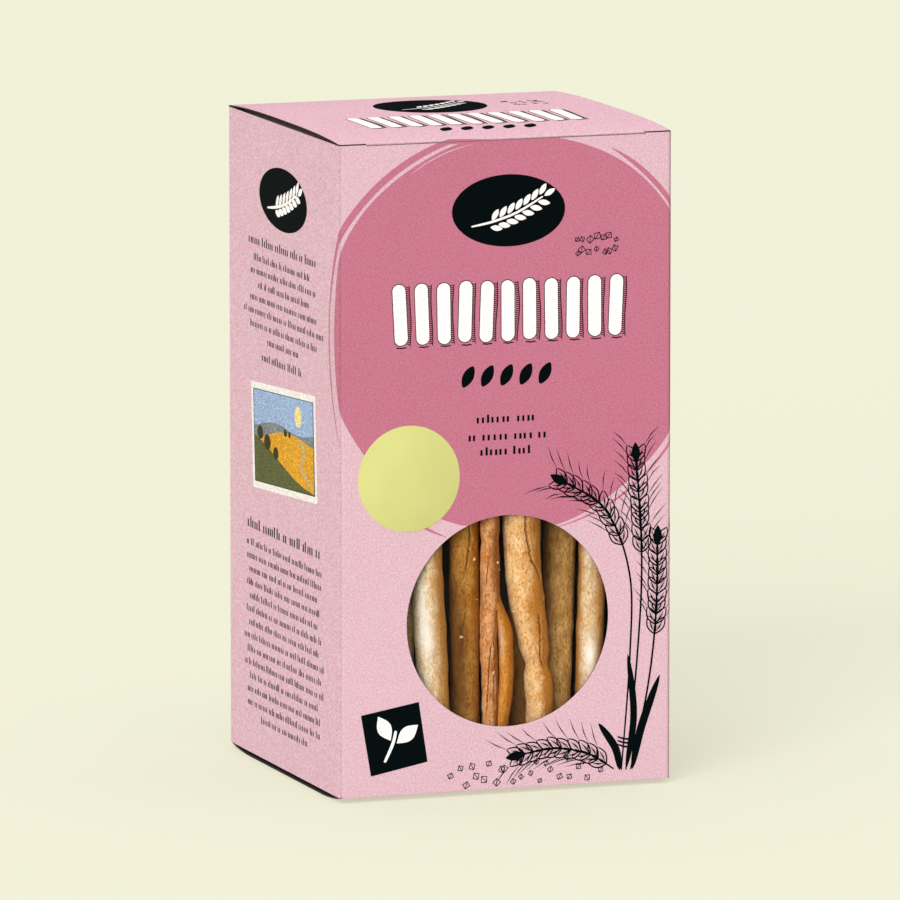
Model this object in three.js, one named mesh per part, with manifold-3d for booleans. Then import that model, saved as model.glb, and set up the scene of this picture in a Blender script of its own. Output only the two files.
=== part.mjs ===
// A shut folding carton of hand-rolled breadsticks. The carton is one sheet of board: four walls,
// a lid hinged on the back wall and a base hinged on the front wall, each tucked in behind the
// wall opposite, with dust flaps folded in from the side walls under them. A clear film closes the
// round window in the front wall from behind, and the breadsticks stand upright behind it.
//
// Millimetres, +Z up. The origin is the middle of the face that the carton stands on.
// The front wall faces -Y.

import * as THREE from "three";
import { mergeVertices } from "three/addons/utils/BufferGeometryUtils.js";
import Module from "manifold-3d";

const wasm = await Module();
wasm.setup();

// ---- Driving dimensions ----

const width = 107; // along X
const depth = 105; // along Y
const wallHeight = 200; // front wall, from crease to crease
const board = 0.5; // thickness of the carton board
const cornerRadius = 1.2; // outside of the four upright creases
const slit = 0.3; // between the lid or the base and what is folded in behind it
const lidBow = { rise: 1.3, power: 3 }; // above its creases; a higher power has a flatter middle
const baseBow = { sag: 1.5, power: 6, pressedFlat: 0.18 };
const tuck = { inset: 1.5, length: 16, corner: 8 };
const lockSlit = { length: 8.5, height: 0.8 }; // cut at each end of the lid's front crease
const dustFlap = { length: 52, taper: 7, inset: 2 };

const opening = { radius: 32.6, x: 0.5, height: 51.9 }; // heights are above the front wall's foot
const film = { thickness: 0.2, margin: 6, gap: 0.3 };
const sticker = { radius: 16.3, x: -31.3, height: 97.2, thickness: 0.12, gap: 0.02 };

const stickFoot = 1.6; // where every stick's lower end stands

// Each breadstick's middle line runs up at x, and into is how far behind the front wall's outside
// it lies. sway carries it aside by that much each way about a height; widens does so for its
// radius, and pinch squeezes it at a height. The split stick has a thinner strand, which leaves it
// at one height and comes part of the way back at another.
const breadsticks = [
  { name: "breadstick_far_left", crust: "tan", x: -28.8, into: 15.5, radius: 4.3, length: 184 },
  {
    name: "breadstick_pale_left", crust: "pale", x: -22.1, into: 6.8, radius: 5.0, length: 189,
    sway: { by: -1.5, at: 52, over: 40 },
  },
  {
    name: "breadstick_brown", crust: "brown", x: -10.3, into: 9.0, radius: 4.55, length: 186,
    sway: { by: -0.5, at: 52, over: 30 },
  },
  {
    name: "breadstick_split", crust: "brown", x: -3.4, into: 5.2, radius: 2.45, length: 182,
    widens: { by: 0.45, at: 52, over: 6 },
    strand: { x: 2.1, into: 4.6, radius: 1.95, joinsAt: 62, over: 12, rejoinsAt: 22 },
  },
  { name: "breadstick_behind", crust: "tan", x: 11.1, into: 17, radius: 4.2, length: 187 },
  {
    name: "breadstick_pinched", crust: "golden", x: 10.6, into: 6.4, radius: 4.05, length: 190,
    sway: { by: -3.2, at: 50, over: 18 },
    widens: { by: 1.55, at: 51, over: 11, into: 0.9 },
    pinch: { by: 1.0, at: 37, over: 2.8 },
  },
  {
    name: "breadstick_tan", crust: "tan", x: 21.2, into: 12.6, radius: 5.05, length: 188,
    sway: { by: 0.8, at: 52, over: 30 },
  },
  {
    name: "breadstick_pale_right", crust: "pale", x: 29.7, into: 6.3, radius: 4.2, length: 185,
    sway: { by: 0.6, at: 52, over: 30 },
  },
];

// Hand rolling leaves a section that is never quite round: waves in its radius, each a share of
// it, with so many lobes round the stick and so much height for one radian.
const lumps = [
  { lobes: 2, height: 19, share: 0.025, phase: 1 },
  { lobes: 3, height: -13, share: 0.02, phase: 2 },
  { lobes: 0, height: 7, share: 0.02, phase: 5 },
];
const wander = { by: 0.12, height: 17 }; // of the middle line, from side to side
const phaseStep = 1.3; // so that no two sticks are lumpy alike

const stickSides = 14;
const ringStep = 6.5;
const endRounding = 1.3; // length of a stick's rounded end over its radius
const endRings = [0.02, 0.13, 0.5]; // where it has rings, as shares of that length
const circleSides = { opening: 72, film: 48, sticker: 48 };
const cornerSides = 3;
const tuckCornerSides = 5;
const bowSteps = 20;

// ---- Levels worked out from them ----

const foot = baseBow.sag; // the front wall's lower crease
const head = foot + wallHeight;
const front = -depth / 2;
const back = depth / 2;

// ---- Between three.js and manifold-3d ----

function solidOf(geometry) {
  const bare = geometry.clone();
  bare.deleteAttribute("normal");
  bare.deleteAttribute("uv");
  const merged = mergeVertices(bare, 1e-4);
  return new wasm.Manifold(
    new wasm.Mesh({
      numProp: 3,
      vertProperties: merged.attributes.position.array,
      triVerts: new Uint32Array(merged.index.array),
    }),
  );
}

function geometryOf(solid) {
  const mesh = solid.getMesh();
  const geometry = new THREE.BufferGeometry();
  geometry.setAttribute("position", new THREE.BufferAttribute(mesh.vertProperties, 3));
  geometry.setIndex(new THREE.BufferAttribute(mesh.triVerts, 1));
  geometry.computeVertexNormals();
  return geometry;
}

// ---- Plain shapes ----

function boxBetween(low, high) {
  const size = high.map((value, axis) => value - low[axis]);
  const middle = high.map((value, axis) => (value + low[axis]) / 2);
  return solidOf(new THREE.BoxGeometry(...size).translate(...middle));
}

// A rectangle round the middle with rounded corners, as an outline or as a hole in one.
function roundedRectangle(Kind, halfX, halfY, radius) {
  const path = new Kind();
  const corners = [[1, 1], [-1, 1], [-1, -1], [1, -1]];
  corners.forEach(([toX, toY], i) => {
    const from = (i * Math.PI) / 2;
    path.absarc(toX * (halfX - radius), toY * (halfY - radius), radius, from, from + Math.PI / 2);
  });
  path.closePath();
  return path;
}

const cartonOutline = (inset, Kind = THREE.Shape) =>
  roundedRectangle(Kind, width / 2 - inset, depth / 2 - inset, cornerRadius - inset);

// A plan drawn in (X, Y), extruded up from one level to another.
function upright(plan, low, high) {
  const settings = { depth: high - low, bevelEnabled: false, curveSegments: cornerSides };
  return solidOf(new THREE.ExtrudeGeometry(plan, settings).translate(0, 0, low));
}

// A side view drawn in (Y, Z), extruded along X across the whole carton.
function acrossCarton(points) {
  const shape = new THREE.Shape(points.map(([y, z]) => new THREE.Vector2(y, z)));
  const turn = new THREE.Matrix4().makeBasis(
    new THREE.Vector3(0, 1, 0),
    new THREE.Vector3(0, 0, 1),
    new THREE.Vector3(1, 0, 0),
  );
  const geometry = new THREE.ExtrudeGeometry(shape, { depth: width, bevelEnabled: false });
  return solidOf(geometry.applyMatrix4(turn).translate(-width / 2, 0, 0));
}

// A round plate upright between two depths.
function roundPlate(radius, { x, height }, nearY, farY, sides) {
  const plate = new THREE.CylinderGeometry(radius, radius, farY - nearY, sides);
  return plate.translate(x, (nearY + farY) / 2, foot + height);
}

// ---- The carton ----

// The side walls stop short of the lid and the base, where the dust flaps fold in.
function walls() {
  const outline = cartonOutline(0);
  outline.holes.push(cartonOutline(board, THREE.Path));
  let tube = upright(outline, foot, head);
  const over = 1;
  const shorter = board + slit;
  const bands = [
    [foot - over, foot + shorter],
    [head - shorter, head + over],
  ];
  for (const [low, high] of bands) {
    const across = [width / 2 + over, back - cornerRadius];
    const clear = width / 2 - cornerRadius;
    const band = boxBetween([-across[0], -across[1], low], [across[0], across[1], high]);
    const kept = boxBetween([-clear, -across[1], low], [clear, across[1], high]);
    tube = tube.subtract(band.subtract(kept));
  }
  return tube;
}

// Each tapers from its side wall to its free end, near the carton's middle.
function dustFlaps() {
  const wide = depth / 2 - dustFlap.inset;
  const narrow = wide - dustFlap.taper;
  const fold = width / 2;
  const shoulder = fold - cornerRadius;
  const end = fold - dustFlap.length;
  const corners = [
    [fold, -wide],
    [fold, wide],
    [shoulder, wide],
    [end, narrow],
    [end, -narrow],
    [shoulder, -wide],
  ];
  const underLid = head - board - slit;
  const overBase = foot + board + slit;
  const flaps = [];
  for (const side of [-1, 1]) {
    const plan = new THREE.Shape(corners.map(([x, y]) => new THREE.Vector2(side * x, y)));
    flaps.push(upright(plan, underLid - board, underLid), upright(plan, overBase, overBase + board));
  }
  return flaps;
}

// A bowed panel's outer line, from its front crease to its back one.
function bowedLine(fromY, toY, level, rise, power) {
  const line = [];
  for (let i = 0; i <= bowSteps; i++) {
    const share = (2 * i) / bowSteps - 1;
    const y = fromY + ((share + 1) / 2) * (toY - fromY);
    line.push([y, level + rise * (1 - Math.abs(share) ** power)]);
  }
  return line;
}

// Board under or over a line: inwards is down for the lid and up for the base.
const panelAlong = (line, inwards) =>
  acrossCarton([...line, ...line.map(([y, z]) => [y, z + inwards]).reverse()]);

// A flap that runs down (-1) or up (1) from a crease, behind a wall, with rounded corners.
function tuckFlap(nearY, crease, towards) {
  const half = width / 2 - tuck.inset;
  const end = crease + towards * tuck.length;
  const shoulder = end - towards * tuck.corner;
  const shape = new THREE.Shape();
  shape.moveTo(-half, crease);
  shape.lineTo(-half, shoulder);
  shape.quadraticCurveTo(-half, end, tuck.corner - half, end);
  shape.lineTo(half - tuck.corner, end);
  shape.quadraticCurveTo(half, end, half, shoulder);
  shape.lineTo(half, crease);
  const settings = { depth: board, bevelEnabled: false, curveSegments: tuckCornerSides };
  const flap = new THREE.ExtrudeGeometry(shape, settings).rotateX(Math.PI / 2);
  return solidOf(flap.translate(0, nearY + board, 0));
}

// Hinged on the back wall and tucked in behind the front one, with a lock slit at each end.
function lid() {
  const nearEnd = front + board + slit;
  const line = bowedLine(nearEnd, back, head, lidBow.rise, lidBow.power);
  const panel = panelAlong(line, -board).intersect(upright(cartonOutline(0), foot, head + tuck.length));
  const top = head + board;
  const bottom = head - board - lockSlit.height;
  const between = width / 2 - lockSlit.length;
  const slits = boxBetween([-width, nearEnd - board, bottom], [width, nearEnd + 2 * board, top]).subtract(
    boxBetween([-between, nearEnd - board, bottom], [between, nearEnd + 2 * board, top]),
  );
  return panel.add(tuckFlap(nearEnd, head - board / 2, -1).subtract(slits));
}

// Hinged on the front wall and tucked in behind the back one, and level where it is stood on.
function base() {
  const farEnd = back - board - slit;
  const sag = -baseBow.sag - baseBow.pressedFlat;
  const line = bowedLine(front, farEnd, foot, sag, baseBow.power).map(([y, z]) => [y, Math.max(z, 0)]);
  const panel = panelAlong(line, board).intersect(upright(cartonOutline(0), -board, head));
  return panel.add(tuckFlap(farEnd - board, foot + board / 2, 1));
}

function cartonGeometry() {
  const hole = roundPlate(opening.radius, opening, front - board, front + 2 * board, circleSides.opening);
  const pieces = [lid(), base(), ...dustFlaps()];
  return geometryOf(pieces.reduce((carton, piece) => carton.add(piece), walls().subtract(solidOf(hole))));
}

// ---- What is on and behind the front wall ----

function filmGeometry() {
  const near = front + board + film.gap;
  return roundPlate(opening.radius + film.margin, opening, near, near + film.thickness, circleSides.film);
}

function stickerGeometry() {
  const far = front - sticker.gap;
  return roundPlate(sticker.radius, sticker, far - sticker.thickness, far, circleSides.sticker);
}

// ---- The breadsticks ----

// Goes smoothly from -1 to 1 about a height.
const turnAbout = (z, at, over) => Math.tanh((z - at) / over);

// A stick's middle line and radius at a height above the front wall's foot.
function stickAt(stick, phase, z) {
  const { sway, widens, pinch } = stick;
  const line = {
    x: stick.x + wander.by * Math.sin(z / wander.height + phase),
    into: stick.into,
    radius: stick.radius,
  };
  if (sway) line.x += sway.by * turnAbout(z, sway.at, sway.over);
  if (widens) {
    const share = (1 + turnAbout(z, widens.at, widens.over)) / 2;
    line.radius += widens.by * share;
    line.into += (widens.into ?? 0) * share;
  }
  if (pinch) line.radius -= pinch.by * Math.exp(-(((z - pinch.at) / pinch.over) ** 2));
  return line;
}

// The same for the thinner strand of a split stick.
function strandAt(stick, phase, z) {
  const { strand } = stick;
  const main = stickAt(stick, phase, z);
  const out = (1 - turnAbout(z, strand.joinsAt - strand.over, strand.over / 2)) / 2;
  const home = (1 - turnAbout(z, strand.rejoinsAt, strand.over)) / 2;
  const away = out * (1 - home / 2);
  return {
    x: main.x + away * (strand.x - stick.x),
    into: main.into + away * (strand.into - stick.into),
    radius: strand.radius,
  };
}

function lumpiness(z, angle, phase) {
  const wave = ({ lobes, height, share, phase: turns }) =>
    share * Math.sin(lobes * angle + z / height + turns * phase);
  return lumps.reduce((total, lump) => total + wave(lump), 1);
}

// Share of the full radius this near to a rounded end.
const endShare = (fromEnd, rounding) => {
  const inwards = Math.min(1, fromEnd / rounding);
  return Math.sqrt(1 - (1 - inwards) ** 2);
};

function ringHeights(low, high, rounding) {
  const straight = high - low - 2 * rounding;
  const steps = Math.round(straight / ringStep);
  return [
    ...endRings.map((share) => low + share * rounding),
    ...Array.from({ length: steps + 1 }, (_, i) => low + rounding + (i / steps) * straight),
    ...endRings.map((share) => high - share * rounding).reverse(),
  ];
}

// A closed skin over rings of points, each ring seen anticlockwise from above.
function skinOver(rings) {
  const sides = rings[0].length;
  const faces = [];
  for (let r = 0; r + 1 < rings.length; r++)
    for (let s = 0; s < sides; s++) {
      const a = r * sides + s;
      const b = r * sides + ((s + 1) % sides);
      faces.push(a, b, b + sides, a, b + sides, a + sides);
    }
  const last = (rings.length - 1) * sides;
  for (let s = 1; s + 1 < sides; s++) faces.push(0, s + 1, s, last, last + s, last + s + 1);
  const geometry = new THREE.BufferGeometry().setFromPoints(rings.flat());
  geometry.setIndex(faces);
  geometry.computeVertexNormals();
  return geometry;
}

// Rolled dough round a line that runs up from the sticks' foot.
function rolledDough(lineAt, high, phase) {
  const rounding = endRounding * lineAt(high / 2).radius;
  const rings = ringHeights(stickFoot, high, rounding).map((z) => {
    const { x, into, radius } = lineAt(z);
    const ended = endShare(z - stickFoot, rounding) * endShare(high - z, rounding);
    return Array.from({ length: stickSides }, (_, s) => {
      const angle = (s / stickSides) * 2 * Math.PI;
      const r = radius * ended * lumpiness(z, angle, phase);
      return new THREE.Vector3(x + r * Math.cos(angle), front + into + r * Math.sin(angle), foot + z);
    });
  });
  return skinOver(rings);
}

function breadstickGeometry(stick, phase) {
  const main = rolledDough((z) => stickAt(stick, phase, z), stickFoot + stick.length, phase);
  if (!stick.strand) return main;
  const strandHigh = stick.strand.joinsAt + stick.strand.over;
  const strand = rolledDough((z) => strandAt(stick, phase, z), strandHigh, phase + phaseStep);
  return geometryOf(solidOf(main).add(solidOf(strand)));
}

// ---- Materials ----

const material = (color, roughness, more = {}) =>
  new THREE.MeshStandardMaterial({ color, roughness, metalness: 0, ...more });

const pinkBoard = material(0xe9b9c6, 0.75);
const clearFilm = material(0xffffff, 0.1, { transparent: true, opacity: 0.15 });
const stickerPaper = material(0xe0dd8a, 0.5);
const crusts = {
  pale: material(0xdcc394, 0.8),
  golden: material(0xc9924c, 0.75),
  brown: material(0xa86e2e, 0.75),
  tan: material(0xa78650, 0.8),
};

// ---- The model ----

const pack = new THREE.Group();

function add(name, geometry, finish) {
  const mesh = new THREE.Mesh(geometry, finish);
  mesh.name = name;
  pack.add(mesh);
}

add("carton", cartonGeometry(), pinkBoard);
add("window_film", filmGeometry(), clearFilm);
add("round_sticker", stickerGeometry(), stickerPaper);
breadsticks.forEach((stick, i) =>
  add(stick.name, breadstickGeometry(stick, (i + 1) * phaseStep), crusts[stick.crust]),
);

export default pack;
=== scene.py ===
"""A shut pink folding carton of breadsticks, with a round window of clear film in its front."""

import math
import random

import bmesh
import bpy
import mathutils
from mathutils import Matrix, Vector


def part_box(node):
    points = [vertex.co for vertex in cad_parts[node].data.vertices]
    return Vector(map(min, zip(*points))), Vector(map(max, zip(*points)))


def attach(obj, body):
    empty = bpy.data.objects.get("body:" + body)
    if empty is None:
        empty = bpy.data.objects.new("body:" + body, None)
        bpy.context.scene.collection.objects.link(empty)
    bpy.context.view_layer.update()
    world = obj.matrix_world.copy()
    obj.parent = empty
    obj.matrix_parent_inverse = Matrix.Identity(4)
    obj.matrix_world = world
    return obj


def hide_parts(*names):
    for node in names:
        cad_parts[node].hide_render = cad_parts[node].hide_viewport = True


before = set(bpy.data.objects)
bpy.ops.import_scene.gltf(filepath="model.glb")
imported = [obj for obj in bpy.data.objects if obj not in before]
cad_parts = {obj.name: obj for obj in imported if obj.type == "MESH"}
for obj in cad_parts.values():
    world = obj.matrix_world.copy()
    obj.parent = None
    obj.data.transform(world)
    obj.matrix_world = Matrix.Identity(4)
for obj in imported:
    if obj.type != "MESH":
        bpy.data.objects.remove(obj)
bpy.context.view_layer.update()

# ---- Sizes, in millimetres, worked out from the frame ----

MM = 0.001
carton_low, carton_high = (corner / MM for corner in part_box("carton"))
film_low, film_high = (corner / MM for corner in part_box("window_film"))
sticker_low, sticker_high = (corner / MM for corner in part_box("round_sticker"))

WIDTH = carton_high.x - carton_low.x
DEPTH = carton_high.y - carton_low.y
FRONT = carton_low.y
BACK = carton_high.y
SIDE = carton_high.x
SAG = 1.5  # of the base below its creases
RISE = 1.3  # of the lid above its creases
FOOT = SAG  # lower crease of the front wall
HEAD = carton_high.z - RISE  # upper crease of the back wall
WALLS_LOW = FOOT + 0.15  # the four walls' cut edges, which the base and the lid fold over
WALLS_HIGH = HEAD - 0.4
BOARD = 0.45
CORNER = 1.2  # outside radius of the four upright creases
CORNER_STEPS = 4
CREASE = 0.5  # outside radius where the lid and the base fold
TUCK = 16
LOCK_SLIT = 8.6  # cut at each end of the lid's front crease
ENDS_IN = 0.2  # of the lid and the base, from the side walls' outer faces

WINDOW = Vector((0.5, 0, FOOT + 51.9))
WINDOW_RADIUS = 32.6
WINDOW_SIDES = 96


# ---- Modelling by hand, in code ----

def deselect():
    if bpy.context.mode != "OBJECT":
        bpy.ops.object.mode_set(mode="OBJECT")
    bpy.ops.object.select_all(action="DESELECT")


def choose(*objects):
    """Selects these objects alone, the last of them active."""
    deselect()
    for one in objects:
        one.select_set(True)
        bpy.context.view_layer.objects.active = one


def place(obj):
    """Puts an object's place and size into its mesh."""
    choose(obj)
    bpy.ops.object.transform_apply(location=True, rotation=True, scale=True)


def edit(obj):
    choose(obj)
    bpy.ops.object.mode_set(mode="EDIT")


def pick(obj, kind, test):
    """In edit mode, selects the verts, edges or faces that pass the test, which reads millimetres."""
    modes = {"verts": "VERT", "edges": "EDGE", "faces": "FACE"}
    bpy.ops.mesh.select_mode(type=modes[kind])
    bpy.ops.mesh.select_all(action="DESELECT")
    mesh = bmesh.from_edit_mesh(obj.data)
    for item in getattr(mesh, kind):
        if test(item):
            item.select_set(True)
    mesh.select_flush_mode()
    bmesh.update_edit_mesh(obj.data)


def middle(edge):
    return (edge.verts[0].co + edge.verts[1].co) / (2 * MM)


def done(obj, name, *materials):
    """Leaves edit mode, names the piece and gives it its materials."""
    deselect()
    obj.name = name
    obj.data.name = name
    for one in materials:
        obj.data.materials.append(one)
    return obj


def apply_modifier(obj, kind, **settings):
    choose(obj)
    modifier = obj.modifiers.new(kind.lower(), kind)
    for key, value in settings.items():
        setattr(modifier, key, value)
    bpy.ops.object.modifier_apply(modifier=modifier.name)


def joined(name, *objects):
    choose(*objects)
    bpy.ops.object.join()
    whole = bpy.context.view_layer.objects.active
    whole.name = name
    whole.data.name = name
    return whole


# ---- Materials ----

def linear(red, green, blue):
    """A screen colour out of 255 as the linear colour that a shader takes."""
    def one(value):
        share = value / 255
        return share / 12.92 if share <= 0.04045 else ((share + 0.055) / 1.055) ** 2.4
    return (one(red), one(green), one(blue), 1)


class Nodes:
    """A material's or a group's nodes, placed and linked by short calls."""

    def __init__(self, tree):
        self.tree = tree

    def add(self, kind, inputs=None, **settings):
        node = self.tree.nodes.new(kind)
        for key, value in settings.items():
            setattr(node, key, value)
        for key, value in (inputs or {}).items():
            socket = node.inputs[key]
            if isinstance(value, bpy.types.NodeSocket):
                self.tree.links.new(value, socket)
            else:
                socket.default_value = value
        return node

    def math(self, operation, *values):
        node = self.add("ShaderNodeMath", dict(enumerate(values)), operation=operation)
        return node.outputs[0]

    def mix(self, share, first, second, blend="MIX"):
        node = self.add("ShaderNodeMix", {0: share, 6: first, 7: second}, data_type="RGBA", blend_type=blend)
        return node.outputs[2]

    def range(self, value, low, high, to_low=0.0, to_high=1.0):
        return self.add("ShaderNodeMapRange", {0: value, 1: low, 2: high, 3: to_low, 4: to_high}).outputs[0]

    def place(self, scale):
        """Object coordinates in millimetres, stretched by a scale along X, Y and Z."""
        source = self.add("ShaderNodeTexCoord").outputs["Object"]
        factor = tuple(one / MM for one in scale)
        return self.add("ShaderNodeVectorMath", {0: source, 1: factor}, operation="MULTIPLY").outputs[0]

    def noise(self, place, scale, detail=2.0, roughness=0.5):
        inputs = {"Vector": place, "Scale": scale, "Detail": detail, "Roughness": roughness}
        return self.add("ShaderNodeTexNoise", inputs).outputs["Fac"]

    def bump(self, height, strength, distance):
        inputs = {"Height": height, "Strength": strength, "Distance": distance * MM}
        return self.add("ShaderNodeBump", inputs).outputs["Normal"]


def shader(name, **constants):
    """A new material with a Principled BSDF, and the tool that adds its nodes."""
    material = bpy.data.materials.new(name)
    material.use_nodes = True
    nodes = Nodes(material.node_tree)
    surface = material.node_tree.nodes["Principled BSDF"]
    for key, value in constants.items():
        surface.inputs[key.replace("_", " ")].default_value = value
    return material, nodes, surface


def group(name, inputs, outputs):
    """A new node group with named sockets: its tool, its input node and its output node."""
    tree = bpy.data.node_groups.new(name, "ShaderNodeTree")
    for key, kind in inputs.items():
        tree.interface.new_socket(key, in_out="INPUT", socket_type=kind)
    for key, kind in outputs.items():
        tree.interface.new_socket(key, in_out="OUTPUT", socket_type=kind)
    nodes = Nodes(tree)
    return nodes, nodes.add("NodeGroupInput").outputs, nodes.add("NodeGroupOutput").inputs


SHADE_FROM, SHADE_TO = 1.1, 0.4  # off a wall's end, where the painted shade along an upright crease starts and is darkest


def painted_crease_shade(nodes, place):
    """1 along the carton's four upright creases, where painted shade darkens the board and its print, and 0
    elsewhere.
    """
    along = nodes.add("ShaderNodeSeparateXYZ", {0: place}).outputs
    shares = [
        nodes.range(nodes.math("ABSOLUTE", along[axis]), half - SHADE_FROM, half - SHADE_TO)
        for axis, half in (("X", WIDTH / 2), ("Y", DEPTH / 2))
    ]
    return nodes.math("MULTIPLY", *shares)


def paper_group():
    """Uncoated board: a fine warm and cool mottle over a colour, painted shade along the upright creases, and
    the height of its fibres.
    """
    nodes, given, out = group(
        "paper",
        {"Color": "NodeSocketColor", "Mottle": "NodeSocketFloat"},
        {"Color": "NodeSocketColor", "Height": "NodeSocketFloat"},
    )
    place = nodes.place((1, 1, 1))
    fibrous = nodes.place((1, 0.4, 1))
    grain = nodes.noise(fibrous, 1.9, 3.0, 0.65)
    tint = nodes.noise(fibrous, 2.1, 2.0, 0.6)
    cloud = nodes.noise(place, 0.035, 2.0, 0.5)
    fibres = nodes.noise(fibrous, 4.5, 2.0, 0.5)
    value = nodes.math("MULTIPLY", nodes.math("SUBTRACT", grain, 0.5), 0.64)
    value = nodes.math("ADD", value, nodes.math("MULTIPLY", nodes.math("SUBTRACT", cloud, 0.5), 0.05))
    value = nodes.math("ADD", nodes.math("MULTIPLY", value, given["Mottle"]), 1.0)
    # Painted shade: the colour darkens towards the four upright creases.
    value = nodes.math("MULTIPLY", value, nodes.range(painted_crease_shade(nodes, place), 0, 1, 1.0, 0.74))
    lit = nodes.add("ShaderNodeVectorMath", {0: given["Color"], 3: value}, operation="SCALE").outputs[0]
    warmer = nodes.mix(1.0, lit, (0.96, 0.74, 0.79, 1), "MULTIPLY")
    cooler = nodes.mix(1.0, lit, (1.03, 1.17, 1.14, 1), "MULTIPLY")
    shade = nodes.range(tint, 0.32, 0.68)
    nodes.tree.links.new(nodes.mix(shade, cooler, warmer), out["Color"])
    nodes.tree.links.new(nodes.math("ADD", grain, nodes.math("MULTIPLY", fibres, 0.4)), out["Height"])
    return nodes.tree


PAPER = paper_group()


def printed_paper(name, colour, roughness=0.62, mottle=1.0, relief=0.25, specular=0.12):
    """Board or ink on it, with the same mottle and fibres showing through."""
    material, nodes, surface = shader(name, Roughness=roughness)
    surface.inputs["Specular IOR Level"].default_value = specular
    paper = nodes.add("ShaderNodeGroup", node_tree=PAPER)
    paper.inputs["Color"].default_value = colour
    paper.inputs["Mottle"].default_value = mottle
    nodes.tree.links.new(paper.outputs["Color"], surface.inputs["Base Color"])
    bump = nodes.bump(paper.outputs["Height"], relief, 0.05)
    nodes.tree.links.new(bump, surface.inputs["Normal"])
    return material


PINK = printed_paper("pink_board", linear(222, 186, 201))
# The board's inside and its cut edges are painted near black: painted shade for the unlit inside, the slits
# and the gaps between the sticks.
DARKENED_INSIDE = printed_paper("board_inside", linear(66, 58, 54), roughness=0.85)
EDGE = printed_paper("board_cut_edge", linear(60, 50, 48), roughness=0.9)
DEEP_PINK = printed_paper("deep_pink_ink", linear(195, 118, 143))


# ---- Camera ----

CAMERA_TURN = math.radians(-19.63)
CAMERA_RISE = math.radians(8.748)
LOOK_AT = Vector((0, 0, 100))
LOOK_AT_SEEN = Vector((-0.57, 1.63, 3523.6))  # how far right, up and away the camera sees it
LENS = 457.8
SENSOR = 36
CLIP_START, CLIP_END = 0.5, 20  # in metres

camera = bpy.data.objects.new("camera", bpy.data.cameras.new("camera"))
bpy.context.collection.objects.link(camera)
camera.data.lens = LENS
camera.data.sensor_width = SENSOR
camera.data.clip_start = CLIP_START
camera.data.clip_end = CLIP_END
camera_turned = Matrix.Rotation(CAMERA_TURN, 4, "Z") @ Matrix.Rotation(math.pi / 2 - CAMERA_RISE, 4, "X")
to_camera = Vector((-LOOK_AT_SEEN.x, -LOOK_AT_SEEN.y, LOOK_AT_SEEN.z)) * MM
camera_place = LOOK_AT * MM + camera_turned.to_3x3() @ to_camera
camera.matrix_world = Matrix.Translation(camera_place) @ camera_turned
bpy.context.scene.camera = camera
bpy.context.scene.view_settings.view_transform = "Standard"


# ---- The carton's board ----

def wall_sheet():
    """The four walls as one sheet with rounded upright creases and the window cut out."""
    level = (WALLS_LOW + WALLS_HIGH) / 2
    bpy.ops.mesh.primitive_cube_add(size=1, location=(0, 0, level * MM))
    sheet = bpy.context.object
    sheet.scale = Vector((WIDTH, DEPTH, WALLS_HIGH - WALLS_LOW)) * MM
    place(sheet)
    edit(sheet)
    pick(sheet, "edges", lambda e: abs(middle(e).z - level) < 1)
    bpy.ops.mesh.bevel(offset=CORNER * MM, segments=CORNER_STEPS)
    pick(sheet, "faces", lambda f: abs(f.normal.z) > 0.9)
    bpy.ops.mesh.delete(type="FACE")
    support = CORNER + 0.3  # keeps the shading of the flat walls apart from the rounded creases
    for normal, reach in (((1, 0, 0), SIDE - support), ((0, 1, 0), BACK - support)):
        for side in (-1, 1):
            bpy.ops.mesh.select_all(action="SELECT")
            bpy.ops.mesh.bisect(plane_co=Vector(normal) * side * reach * MM, plane_no=normal)
    pick(sheet, "faces", lambda f: f.normal.y < -0.99 and f.calc_area() > 0.01)
    bpy.ops.mesh.delete(type="ONLY_FACE")
    bpy.ops.mesh.primitive_circle_add(
        vertices=WINDOW_SIDES,
        radius=WINDOW_RADIUS * MM,
        location=Vector((WINDOW.x, FRONT, WINDOW.z)) * MM,
        rotation=(math.pi / 2, 0, 0),
    )
    pick(sheet, "edges", lambda e: e.is_boundary and in_front_panel(middle(e), support) or e.is_wire)
    bpy.ops.mesh.fill(use_beauty=True)
    bpy.ops.mesh.select_all(action="SELECT")
    bpy.ops.mesh.normals_make_consistent(inside=False)
    return done(sheet, "walls")


def in_front_panel(point, support):
    """Whether a point lies on the flat part of the front wall."""
    return abs(point.y - FRONT) < 0.01 and abs(point.x) < SIDE - support + 0.01


def folded_sheet(profile, half_width):
    """A sheet swept across the carton: an edge extruded from point to point of a (y, z) profile."""
    bpy.ops.mesh.primitive_plane_add(size=2 * half_width * MM)
    sheet = bpy.context.object
    edit(sheet)
    pick(sheet, "verts", lambda v: v.co.y < 0)
    bpy.ops.mesh.delete(type="VERT")
    bpy.ops.mesh.select_all(action="SELECT")
    at = Vector((0, half_width, 0))
    for i, (y, z) in enumerate(profile):
        step = (Vector((0, y, z)) - at) * MM
        if i:
            bpy.ops.mesh.extrude_region_move(TRANSFORM_OT_translate={"value": step})
        else:
            bpy.ops.transform.translate(value=step)
        at = Vector((0, y, z))
    deselect()
    return sheet


def bow(share, power):
    """How far a bowed panel has risen at a share of the way from its middle to its end."""
    return 1 - abs(share) ** power


def fold(centre, radius, start, steps=3):
    """Points round a fold in the (y, z) plane, turning a right angle from a start angle."""
    turns = (start + i / steps * math.pi / 2 for i in range(steps + 1))
    return [(centre[0] + radius * math.cos(t), centre[1] + radius * math.sin(t)) for t in turns]


BOW_STEPS = 40
LID_POWER = 3
BASE_POWER = 6
PRESSED_FLAT = 0.18  # of the base's sag, where it stands


def lid_height(y):
    """The lid's outer face above its creases."""
    near, far = FRONT + BOARD + 0.3, BACK
    share = 2 * (y - near) / (far - near) - 1
    return RISE * bow(min(1, abs(share)), LID_POWER)


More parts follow.
